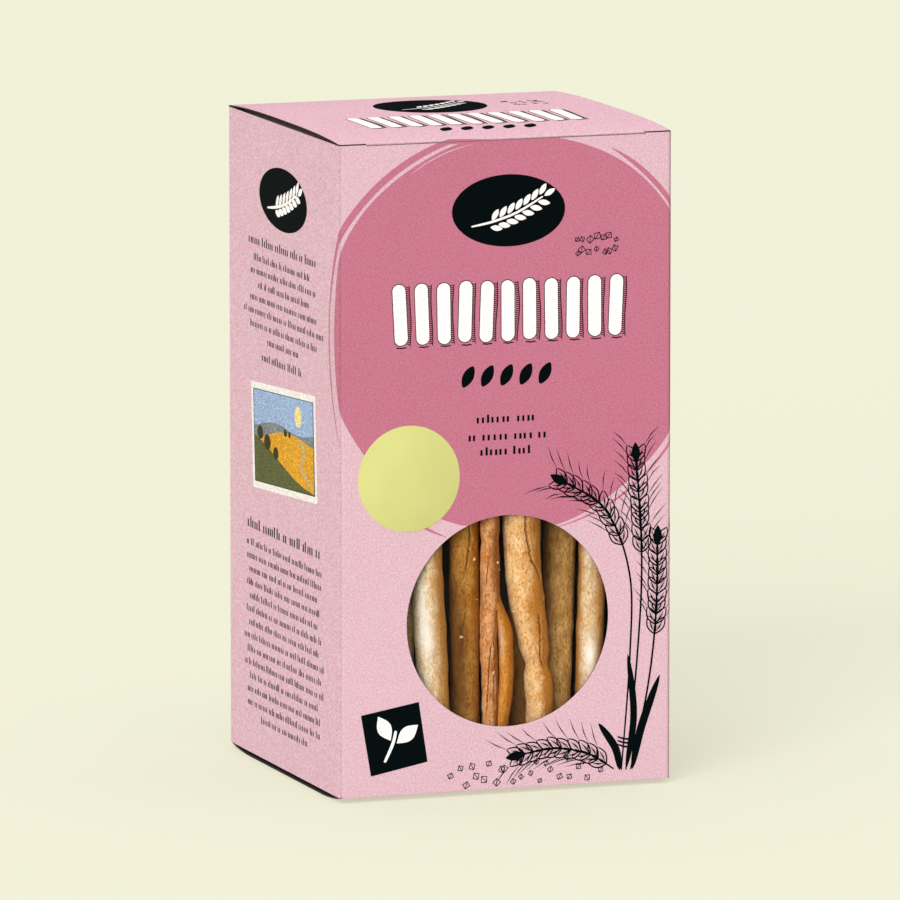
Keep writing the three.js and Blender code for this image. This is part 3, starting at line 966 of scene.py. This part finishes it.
def bar(x, y, wide, high, degrees=0.0, rounding=0.0):
    """A rectangle's outline, with round corners where a rounding is given."""
    if not rounding:
        u, v = wide / 2, high / 2
        return turned([(-u, -v), (u, -v), (u, v), (-u, v)], x, y, degrees)
    points = []
    for quarter, (u, v) in enumerate(((1, 1), (-1, 1), (-1, -1), (1, -1))):
        for i in range(7):
            t = math.pi / 2 * (quarter + i / 6)
            points.append((
                u * (wide / 2 - rounding) + rounding * math.cos(t),
                v * (high / 2 - rounding) + rounding * math.sin(t),
            ))
    return turned(points, x, y, degrees)


def between(p, q, r, s, t):
    """The value a share t of the way from q to r, on a smooth line through all four."""
    squared = (2 * p - 5 * q + 4 * r - s) * t * t
    cubed = (3 * q - p - 3 * r + s) * t ** 3
    return 0.5 * (2 * q + (r - p) * t + squared + cubed)


def curve(points, steps=6):
    """A smooth path through the points."""
    path = []
    ends = [points[0], *points, points[-1]]
    for a, b, c, d in zip(ends, ends[1:], ends[2:], ends[3:]):
        for i in range(steps):
            t = i / steps
            path.append(tuple(between(*values, t) for values in zip(a, b, c, d)))
    return path + [points[-1]]


def stroke(path, width, taper=0.7):
    """The outline of a pen or brush stroke along a path, thinner at both ends."""
    left, right = [], []
    for i, (u, v) in enumerate(path):
        before, after = path[max(i - 1, 0)], path[min(i + 1, len(path) - 1)]
        along = math.hypot(after[0] - before[0], after[1] - before[1]) or 1
        half = width / 2 * (1 - taper * abs(2 * i / (len(path) - 1) - 1) ** 3)
        off = (-(after[1] - before[1]) / along * half, (after[0] - before[0]) / along * half)
        left.append((u + off[0], v + off[1]))
        right.append((u - off[0], v - off[1]))
    return right + left[::-1]


class Page:
    """A flat drawing: outlines to fill, listed by ink."""

    def __init__(self, name, visible=list):
        self.name = name
        self.visible = visible  # keeps the part of a stroke that lies on the board
        self.inks = {}

    def fill(self, ink, points):
        area = sum(a[0] * b[1] - b[0] * a[1] for a, b in zip(points, points[1:] + points[:1]))
        self.inks.setdefault(ink, []).append(points if area > 0 else points[::-1])

    def line(self, ink, path, width, taper=0.7):
        path = self.visible(path)
        if len(path) > 1:
            self.fill(ink, stroke(path, width, taper))

    def loop(self, ink, points, width):
        """A hand-drawn outline, not quite closed."""
        self.line(ink, points, width, 0.3)

    def press(self, folds, settle, trim=list):
        """Makes one piece of each ink: filled outlines, cut along the folds and settled on the board."""
        for ink, outlines in self.inks.items():
            lift, material = INKS[ink]
            outlines = [outline for outline in map(trim, outlines) if outline]
            sheets = []
            for first in range(0, len(outlines), SHAPES_A_SHEET):
                odd_sheet = first / SHAPES_A_SHEET % 2  # lies half a step higher than an even one
                level = lift + odd_sheet * SHEET_STEP / 2
                sheets.append(filled(outlines[first:first + SHAPES_A_SHEET], level))
            name = f"print_{self.name}_{ink}"
            sheet = joined(name, *sheets)
            edit(sheet)
            for place_at, normal in folds:
                bpy.ops.mesh.select_all(action="SELECT")
                bpy.ops.mesh.bisect(plane_co=Vector(place_at) * MM, plane_no=normal)
            done(sheet, name, material)
            for vertex in sheet.data.vertices:
                vertex.co = Vector(settle(*(vertex.co / MM))) * MM
            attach(sheet, "root")


def filled(outlines, lift):
    """Flat shapes in one mesh: circles whose corners are moved to each outline's points."""
    bpy.ops.object.add(type="MESH")
    sheet = bpy.context.object
    edit(sheet)
    for number, outline in enumerate(outlines):
        bpy.ops.mesh.primitive_circle_add(vertices=len(outline), radius=MM, fill_type="NGON")
        mesh = bmesh.from_edit_mesh(sheet.data)
        level = lift + number * SHEET_STEP
        for vertex, (u, v) in zip(list(mesh.verts)[-len(outline):], outline):
            vertex.co = Vector((u, v, level)) * MM
    deselect()
    return sheet


def clear_of_window(outline):
    """An outline with its points inside the window pushed back to the window's edge."""
    kept = []
    inside = 0
    for u, v in outline:
        off = Vector((u - WINDOW.x, v - WINDOW.z))
        if off.length < WINDOW_RADIUS + WINDOW_MARGIN:
            off *= (WINDOW_RADIUS + WINDOW_MARGIN) / off.length
            inside += 1
        kept.append((WINDOW.x + off.x, WINDOW.z + off.y))
    return kept if inside < len(outline) - 1 else None


HALVINGS = 8  # to find where a stroke crosses the window's edge


def beside_window(path):
    """The first stretch of a path that lies outside the window, cut off at its edge."""
    centre = Vector((WINDOW.x, WINDOW.z))
    inside = [(Vector(point) - centre).length < WINDOW_RADIUS for point in path]
    if not any(inside):
        return path
    kept = []
    for number, point in enumerate(path):
        if inside[number]:
            if kept:
                break
            continue
        if not kept and number:
            within, without = Vector(path[number - 1]), Vector(point)
            for _ in range(HALVINGS):
                halfway = (within + without) / 2
                if (halfway - centre).length < WINDOW_RADIUS:
                    within = halfway
                else:
                    without = halfway
            kept.append(tuple(without))
        kept.append(point)
    return kept


def on_walls(distance, height, lift):
    """Where a point drawn on the walls lies: each wall's middle, its half length and what it faces."""
    girth = 2 * (WIDTH + DEPTH)
    distance = (distance + WIDTH / 2) % girth
    for half, other, (x, y) in (
        (WIDTH / 2, DEPTH / 2, (0, -1)),
        (DEPTH / 2, WIDTH / 2, (1, 0)),
        (WIDTH / 2, DEPTH / 2, (0, 1)),
        (DEPTH / 2, WIDTH / 2, (-1, 0)),
    ):
        if distance <= 2 * half:
            break
        distance -= 2 * half
    along = distance - half
    bend = max(0, abs(along) - (half - CORNER)) / CORNER * math.pi / 4
    side = math.copysign(1, along)
    straight = side * min(abs(along), half - CORNER)
    reach = CORNER + lift
    u = straight + side * reach * math.sin(bend)
    v = other - CORNER + reach * math.cos(bend)
    return x * v - y * u, y * v + x * u, height


def wall_folds():
    """Where the flat drawing bends round the upright creases."""
    folds = []
    at = -WIDTH / 2 - DEPTH
    for length in (DEPTH, WIDTH, DEPTH, WIDTH):
        for off in (0, CORNER / 2, CORNER, length - CORNER, length - CORNER / 2):
            folds.append(((at + off, 0, 0), (1, 0, 0)))
        at += length
    return folds


def on_lid(x, y, lift):
    return x, y, HEAD + lid_height(y) + lift


def scattered_seeds(page, spots, long, rng):
    """Outlined seeds, each turned its own way."""
    for x, y in spots:
        size = long * rng.uniform(0.8, 1.15)
        outline = oval(x, y, size, size * 0.46, rng.uniform(0, 180), tip=0.5, steps=14)
        page.loop("black", outline, 0.46)


HATCH_STEP = 0.62
PLUMP_STICKS = 11


def plump_sticks(page, left, right, low, high, rng):
    """A row of plump white sticks of dough with hatched shadows to the right and below."""
    pitch = (right - left) / PLUMP_STICKS
    wide, tall = pitch * 0.6, high - low
    reach = pitch * 0.16
    for i in range(PLUMP_STICKS):
        x = left + pitch * (i + 0.42)
        y = (low + high) / 2 + rng.uniform(-0.25, 0.25)
        sway, lean = rng.uniform(0.15, 0.4), rng.uniform(-1.5, 1.5)

        def swayed(points):
            return [(u + sway * math.sin((v - low) / tall * 5 + i), v) for u, v in points]

        page.fill("black", swayed(bar(x, y, wide + 0.5, tall + 0.5, lean, rounding=wide / 2 + 0.15)))
        page.fill("white", swayed(bar(x, y, wide, tall, lean, rounding=wide / 2 - 0.05)))
        for row in range(int(tall / HATCH_STEP)):
            level = low + 0.4 + row * HATCH_STEP
            edge = swayed([(x + wide / 2, level)])[0][0]
            page.line("black", [(edge, level), (edge + reach, level - 0.35)], 0.26, 0)
        beside = [(x + wide / 2 + reach, low + tall * k / 8 - 0.5) for k in range(9)]
        page.line("black", swayed(beside), 0.3, 0.2)
        under = [(x - wide * 0.3 + reach * k / 4 * 3, low - 0.75 - 0.15 * (k == 2)) for k in range(5)]
        page.line("black", swayed(under), 0.4, 0.3)


BADGE_LONG, BADGE_WIDE = 36.4, 22  # of the oval that the ear below is drawn for


def grain_badge(page, x, y, long, wide, degrees=0.0):
    """A dark oval with a white ear of grain on a bent stalk."""
    page.fill("black", oval(x, y, long, wide, degrees, steps=72))
    size = long / BADGE_LONG
    ratio = wide / BADGE_WIDE / size

    def at(u, v):
        return x + u * size, y + v * size * ratio

    page.line("white", curve([at(-12, -4.5), at(-5, -3.2), at(3, -0.6), at(11, 3.8)]), 0.75 * size, 0.5)
    for i in range(7):
        u, v = -5.2 + i * 2.55, -3.2 + i * 0.75 + i * i * 0.075
        for side in (-1, 1):
            spot = at(u + 1.1 - side * 0.2, v + side * 2.05)
            page.fill("white", oval(*spot, 3.9 * size, 1.75 * size, 24 + side * 34, tip=0.45, steps=14))
    page.fill("white", oval(*at(13.2, 5.0), 3.9 * size, 1.7 * size, 30, tip=0.45, steps=14))


def flavour_seeds(page, middle, y, long, wide, pitch):
    """Five dark seeds in a row."""
    for i in range(5):
        x = middle + (i - 2) * pitch
        page.fill("black", oval(x, y, long, wide, 62, tip=0.35, steps=20))


def small_print(page, middle, y, half, size, rng):
    """A line of fine print as rows of ticks."""
    u = -half
    while u < half - size:
        for _ in range(rng.randint(2, 8)):
            if u > half:
                break
            tall = size * rng.choice((1, 1, 1, 1, 1.45))
            page.fill("black", bar(middle + u, y + tall / 2, 0.42 * size, tall))
            u += size * rng.choice((0.8, 0.95, 1.1))
        u += size * 0.8


def text_block(page, middle, high, low, halves, size, rng):
    """Lines of fine print of the given half lengths."""
    for i, half in enumerate(halves):
        small_print(page, middle, high + (low - high) * i / (len(halves) - 1), half, size, rng)


DISC_RADIUS = 60.9
ARC_STEPS = 30

# Strokes of a brush round the disc: from one angle to another, the radius at each, and the width.
BRUSH_STROKES = (
    (98, 172, 64, 67.2, 2.2), (160, 208, 67.6, 65.4, 1.0), (22, 62, 61.6, 64, 1.6),
    (222, 254, 64, 64.4, 1.0), (275, 350, 60.2, 59.8, 0.75),
)
SCRATCHES = ((58, 74, 63, 62.6, 0.34), (104, 124, 61.4, 61.8, 0.3), (166, 186, 62.6, 63, 0.5))


def brushed_disc(page, x, y, size=1.0):
    """A deep pink disc, a little uneven, with loose brush strokes round it."""
    def ring(reaches):
        points = ((x + size * r * math.cos(t), y + size * r * math.sin(t)) for t, r in reaches)
        return [(u, min(v, PRINT_TOP)) for u, v in points]

    edge = []
    for degrees in range(0, 360, 2):
        t = math.radians(degrees)
        swells = 2.4 * math.cos(t - 2.2) + 0.7 * math.sin(3 * t) + 0.25 * math.sin(8 * t)
        edge.append((t, DISC_RADIUS + swells))
    page.fill("deep_pink", ring(edge))
    for ink, strokes in (("deep_pink", BRUSH_STROKES), ("bare", SCRATCHES)):
        for start, end, reach, last_reach, width in strokes:
            arc = []
            for i in range(ARC_STEPS + 1):
                share = i / ARC_STEPS
                bulge = 1.2 * share * (1 - share)
                angle = math.radians(start + (end - start) * share)
                arc.append((angle, reach + (last_reach - reach) * share + bulge))
            page.line(ink, ring(arc), width * size, 0.85)


EAR_LENGTH = 33
HUSK_STEP = 3.1  # from one pair of husks to the next


def ear_of_grain(page, stops, rng):
    """An inked ear on a long stalk: pairs of husks with a rib and an awn each, and one at the tip."""
    path = curve(stops, 30)
    page.line("black", path, 0.6, 0.3)
    length = 0
    for (u, v), (before_u, before_v) in zip(path[::-1], path[-2::-1]):
        step = math.hypot(u - before_u, v - before_v)
        pair = int((length + step) / HUSK_STEP) > int(length / HUSK_STEP)
        length += step
        if length > EAR_LENGTH:
            break
        if pair:
            along = math.degrees(math.atan2(v - before_v, u - before_u))
            for side in (-1, 1):
                husk(page, u, v, along + side * rng.uniform(24, 32), side, rng)
    u, v = path[-1]
    along = math.degrees(math.atan2(v - path[-4][1], u - path[-4][0]))
    page.fill("black", oval(u, v, 6.4, 2.8, along, tip=0.6, steps=18))


def husk(page, u, v, lean, side, rng):
    """A husk on one side of an ear, with lines on it and an awn that bends away."""
    def at(reach, off=0):
        return turned([(reach, off)], u, v, lean)[0]

    page.loop("black", oval(*at(3), 5.9, 2.8, lean, tip=0.6, steps=18), 0.46)
    page.line("black", [at(0.8), at(2.6, 0.15 * side), at(4.6)], 0.5, 0.8)
    for off in (0.4, -0.4):
        page.line("black", [at(1.6, off), at(3.8, 1.4 * off)], 0.3, 0.8)
    page.line("black", [at(5.6), at(9.5, 0.5 * side), at(13 + rng.uniform(-1, 1), 1.6 * side)], 0.34, 0.9)


def blade(page, stops, width):
    """A long dark grass blade."""
    page.line("black", curve(stops, 12), width, 1)


BLADES = (  # each blade's points from the foot, and its width
    (((41, 5), (44, 18), (50, 34)), 2.6),
    (((37, 5), (35.5, 12), (30, 20)), 2.4),
    (((39, 5), (41.5, 22), (39.5, 41)), 2.2),
)
EARS = (  # each stalk's points from the foot to the ear's tip
    ((37.5, 5), (40.2, 40), (40, 66), (32, 86), (17, 96)),
    ((39, 5), (42.6, 40), (44, 70), (42, 103)),
    ((40.5, 5), (46, 30), (48.6, 52), (49.2, 77)),
    ((35, 5.5), (27, 10.5), (16, 13), (3, 11.4)),
)
TIES = (13, 14.2, 15.4)  # heights of the cord round the stalks
STREWN = 26  # grains of salt under the window


def ears_and_salt(page, rng):
    """Ears of grain that lean round the window's right side and under it, over strewn grains of salt."""
    for stops, width in BLADES:
        blade(page, stops, width)
    for stops in EARS:
        ear_of_grain(page, stops, rng)
    for level in TIES:
        page.line("black", curve([(36.2, level), (39.6, level - 0.9), (43.2, level + 0.2)]), 0.6, 0.4)
    for number in range(STREWN):
        salt(page, -17 + 1.9 * number + rng.uniform(-1, 1), 6.5 + 3.2 * math.sin(number * 2.4), rng)


def salt(page, x, y, rng):
    """A grain of salt: a small tilted square with an edge inside it."""
    wide, lean = rng.uniform(1.1, 1.9), rng.uniform(0, 90)
    corners = bar(x, y, wide, wide * 0.9, lean)
    page.line("black", corners + corners[:1], 0.34, 0.2)
    page.line("black", [corners[0], (x, y), corners[2]], 0.24, 0.4)


def salt_rows(page, x, y, count, across, pitch, rise, stray, rng):
    """Grains of salt in loose rows of so many across, each strayed sideways by up to so much."""
    for number in range(count):
        u = x + pitch * (number % across) + rng.uniform(-stray, stray)
        v = y + rise * (number // across) + rng.uniform(-1, 1)
        salt(page, u, v, rng)


def leaf_label(page, corners):
    """A dark tilted square with two white leaves on a stalk."""
    page.fill("black", list(corners))
    middle = sum((Vector(corner) for corner in corners), Vector((0, 0))) / 4
    x, y = middle
    page.line("white", curve([(x - 3.2, y - 7), (x - 0.6, y - 1.5), (x + 0.4, y + 2.5)]), 1.0, 0.3)
    page.fill("white", oval(x + 4.1, y + 1.3, 8.6, 4.6, 38, tip=0.8, steps=24))
    page.fill("white", oval(x - 3.3, y + 3.4, 8.6, 4.6, 118, tip=0.8, steps=24))


# The picture's fields: the ink, the heights along the top, and the foot. One is half the picture's height.
SKY = ("sky", (1, 1), -0.1)
LAND = (
    ("hill", (0.2, 0.28, 0.34, 0.36, 0.32, 0.24, 0.2, 0.22, 0.28), -0.2),
    ("field", (-0.16, -0.02, 0.08, 0.16, 0.2, 0.2, 0.16, 0.08, 0.02), -1),
    ("meadow", (0.02, -0.14, -0.34, -0.56, -0.76, -0.9, -0.98), -1),
)
PATH = ((0.96, -0.9), (0.6, -0.5), (0.68, -0.1), (0.5, 0.12))
BUSHES = ((-0.8, 0.08, 5.4), (-0.56, -0.1, 6.2), (-0.28, -0.3, 5), (0.06, 0.2, 3), (0.2, 0.18, 2.4))


def picture_card(page, x, y, wide, high, degrees):
    """A tilted white card with plain fields under a low sun: far hills, corn, a path and round bushes."""
    page.fill("white_card", bar(x, y, wide, high, degrees))
    page.fill("black", bar(x, y, wide - 4, high - 4.2, degrees))
    half_wide, half_high = wide / 2 - 2.5, high / 2 - 2.3

    def placed(shares):
        return turned([(half_wide * u, half_high * v) for u, v in shares], x, y, degrees)

    def band(ink, levels, floor):
        steps = len(levels) - 1
        top = [(-half_wide + 2 * half_wide * i / steps, half_high * level) for i, level in enumerate(levels)]
        around = [(-half_wide, half_high * floor), *top, (half_wide, half_high * floor)]
        page.fill(ink, turned(around, x, y, degrees))

    band(*SKY)
    page.fill("sun", oval(*placed([(0.5, 0.62)])[0], 6.4, 6.4, steps=32))
    for field in LAND:
        band(*field)
    page.line("path", placed(curve(PATH, 8)), 2.0, 0.9)
    for u, v, across in BUSHES:
        page.fill("bushes", oval(*placed([(u, v)])[0], across, across * 0.8, degrees, steps=20))


def values_table(page, x, y, wide, high, rows, rng):
    """A ruled table of ticks, as on the side of any food packet."""
    pitch = high / rows
    for row in range(rows + 1):
        level = y + high / 2 - high * row / rows
        page.fill("black", bar(x, level, wide, 0.7 if row in (0, 1, rows) else 0.3))
        if row < rows:
            level -= pitch * 0.7
            small_print(page, x - wide * 0.22, level, wide * rng.uniform(0.12, 0.24), 1.5, rng)
            small_print(page, x + wide * 0.38, level, wide * 0.07, 1.5, rng)
    for off in (-0.5, 0.22, 0.5):
        page.fill("black", bar(x + wide * off, y, 0.4, high))


def front_print(page, x):
    """The badge, the row of sticks, seeds, salt and three short lines round the middle of a wall."""
    rng = random.Random(FRONT_SEED)
    plump_sticks(page, x - 37, x + 39.4, 139.6, 158.2, rng)
    grain_badge(page, x + 0.7, 179.3, 36.4, 22, -0.5)
    flavour_seeds(page, x + 0.1, 129, 7.2, 3.6, 6.2)
    for y, half in ((114.6, 9.8), (109.2, 12.4), (104.6, 8.6)):
        small_print(page, x + 0.6, y, half, 1.75, rng)
    salt_rows(page, x + 23, 166, 14, 7, 2.1, 3.4, 0.8, rng)


def side_heading(page, middle, half, rng):
    """The badge at the top of a side wall, and a line under it."""
    grain_badge(page, middle, 178.2, 45, 19.4)
    small_print(page, middle, 161.4, half, 1.9, rng)


def left_print(page, middle, rng):
    side_heading(page, middle, 32.4, rng)
    text_block(page, middle, 156.4, 131.4, (27.6, 30.4, 23.6, 31, 37.2, 31, 14.8), 1.5, rng)
    small_print(page, middle, 126, 20, 1.7, rng)
    picture_card(page, middle + 0.4, 103.7, 61, 33, 3.3)
    small_print(page, middle, 72.4, 34, 2.3, rng)
    halves = (35, 34.6, 32.6, 35, 32, 35.2, 32.8, 37.4, 34.4, 36.8, 32, 34.4, 34.4, 21.6)
    text_block(page, middle, 66.9, 12.4, halves, 1.5, rng)


def right_print(page, middle, rng):
    side_heading(page, middle, 30, rng)
    text_block(page, middle, 156.4, 131.4, (31, 28, 33, 30, 26, 32, 18), 1.5, rng)
    values_table(page, middle, 100, 66, 44, 9, rng)
    text_block(page, middle, 66, 46, (33, 31, 34, 30, 32, 22), 1.5, rng)
    spots = [(middle + rng.uniform(-30, 30), rng.uniform(14, 36)) for _ in range(26)]
    scattered_seeds(page, spots, 3.4, rng)


def print_walls():
    page = Page("walls", beside_window)
    rng = random.Random(WALLS_SEED)
    brushed_disc(page, 4, 140.4)
    # Painted shade: a dark line along the top of the front wall, where the lid folds over.
    page.fill("fold_shade_line", bar(0, HEAD - 0.62, WIDTH - 2 * LOCK_SLIT, 0.26))
    front_print(page, 0)
    leaf_label(page, ((-46.8, 26.8), (-43.6, 7.9), (-25.4, 11.4), (-28.2, 30)))
    ears_and_salt(page, rng)
    left_print(page, -WIDTH / 2 - DEPTH / 2, rng)
    right_print(page, WIDTH / 2 + DEPTH / 2, rng)
    back = WIDTH + DEPTH
    brushed_disc(page, back, 143, 0.74)
    front_print(page, back)
    text_block(page, back, 66, 20, (38, 36, 38, 34, 37, 38, 35, 38, 36, 24), 1.6, rng)
    page.press(wall_folds(), on_walls, clear_of_window)


def print_lid():
    page = Page("lid")
    rng = random.Random(LID_SEED)
    plump_sticks(page, -35, 37, -26.5, -2.4, rng)
    grain_badge(page, 1, 19.4, 35.4, 35)
    flavour_seeds(page, 0.8, -34, 7.8, 3.8, 6.8)
    salt_rows(page, 27, 14, 12, 4, 3.4, 3.6, 1, rng)
    page.press([((0, y, 0), (0, 1, 0)) for y in LID_ROWS], on_lid)


print_walls()
print_lid()

# ---- Floor and light ----

# Each light's energy and colour, its width in degrees, its tilt from straight down and its turn.
LIGHTS = (
    ("key", 2.38, (1, 1, 1), 40, 65, -39.6),
    ("fill", 2.48, (1, 0.93, 0.87), 80, 0, 0),
)


def glowing_floor():
    """A pale floor that shines a little, as on a light table, so that the shadow on it stays faint."""
    colour = linear(245, 246, 225)
    reflected = 0.4  # of the colour, beside what the floor gives off
    material, _, surface = shader("floor", Roughness=0.95)
    surface.inputs["Specular IOR Level"].default_value = 0.0
    surface.inputs["Base Color"].default_value = [share * reflected for share in colour[:3]] + [1]
    surface.inputs["Emission Color"].default_value = linear(178, 180, 162)
    surface.inputs["Emission Strength"].default_value = 1.0
    return material


FLOOR_SIZE, FLOOR_BACK = 14, 3  # in metres: its sides, and how far behind the carton its middle is
WORLD_COLOUR, WORLD_STRENGTH = (1, 0.99, 0.955, 1), 0.1


def studio():
    bpy.ops.mesh.primitive_plane_add(size=FLOOR_SIZE, location=(0, FLOOR_BACK, 0))
    floor = done(bpy.context.object, "floor", glowing_floor())
    place(floor)
    world = bpy.data.worlds.new("studio")
    world.use_nodes = True
    background = world.node_tree.nodes["Background"]
    background.inputs["Color"].default_value = WORLD_COLOUR
    background.inputs["Strength"].default_value = WORLD_STRENGTH
    bpy.context.scene.world = world
    for name, energy, colour, spread, tilt, turn in LIGHTS:
        light = bpy.data.objects.new(name, bpy.data.lights.new(name, "SUN"))
        bpy.context.collection.objects.link(light)
        light.data.energy = energy
        light.data.color = colour
        light.data.angle = math.radians(spread)
        light.rotation_euler = (math.radians(tilt), 0, math.radians(turn))


studio()
